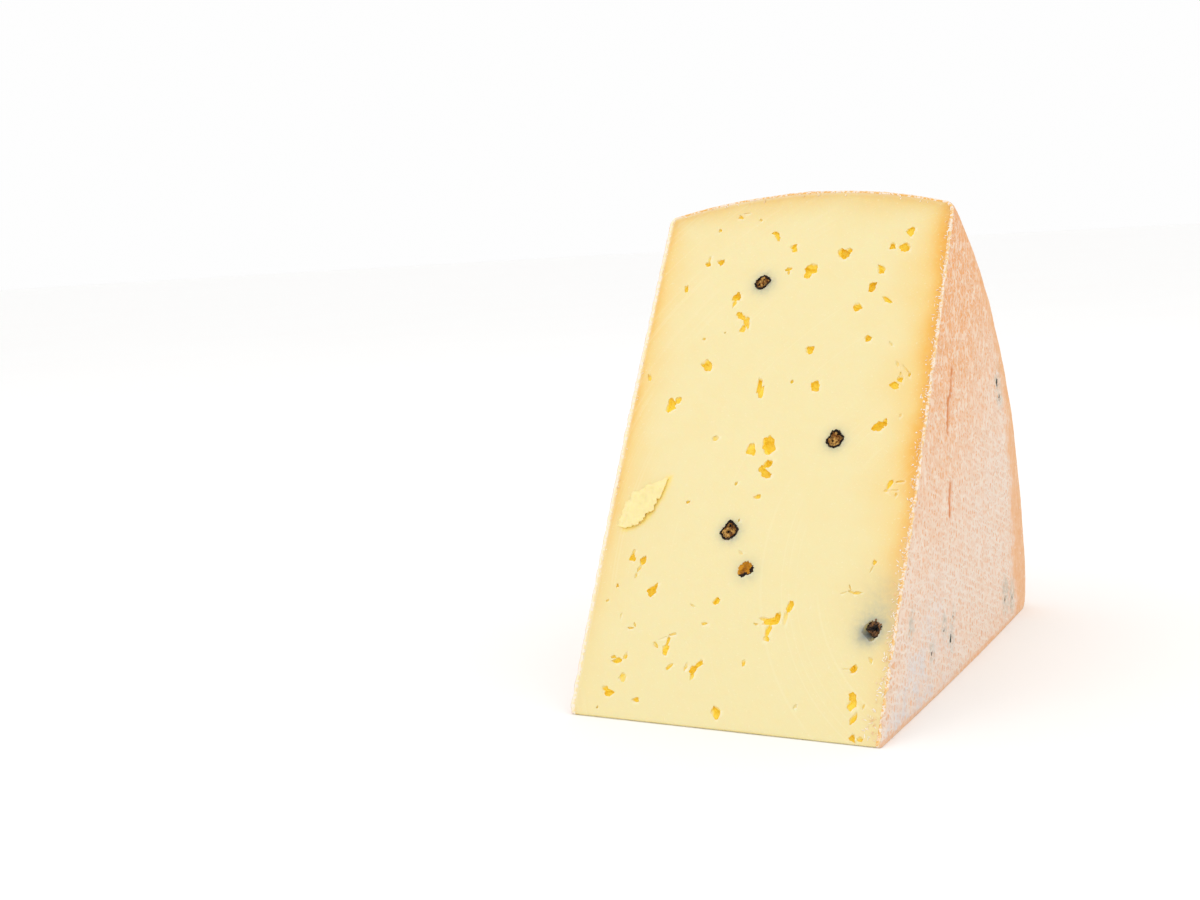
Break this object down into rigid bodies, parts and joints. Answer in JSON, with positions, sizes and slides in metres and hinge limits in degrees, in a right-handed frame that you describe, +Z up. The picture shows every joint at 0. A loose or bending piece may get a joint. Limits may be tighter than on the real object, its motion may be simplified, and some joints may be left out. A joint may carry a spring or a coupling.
{
  "type": "cheese wedge",
  "caption": "Wedge of semi-hard washed-rind cheese with peppercorns and small eyes, resting on one of its two cut faces.",
  "frame": {"origin": "middle of the bottom of the wedge's box, on the cut face that it rests on", "axes": "+Z up, +Y from the tip line towards the rim, +X along the wheel's axis, towards the rind side that the picture shows"},
  "size_m": [0.0814, 0.1465, 0.1255],
  "materials": {
    "cheese": "semi-matte pale yellow cheese paste with a pinkish orange rind on both flat sides and the rim"
  },
  "bodies": {
    "root": {"cheese_wedge": "cheese"}
  },
  "joints": []
}
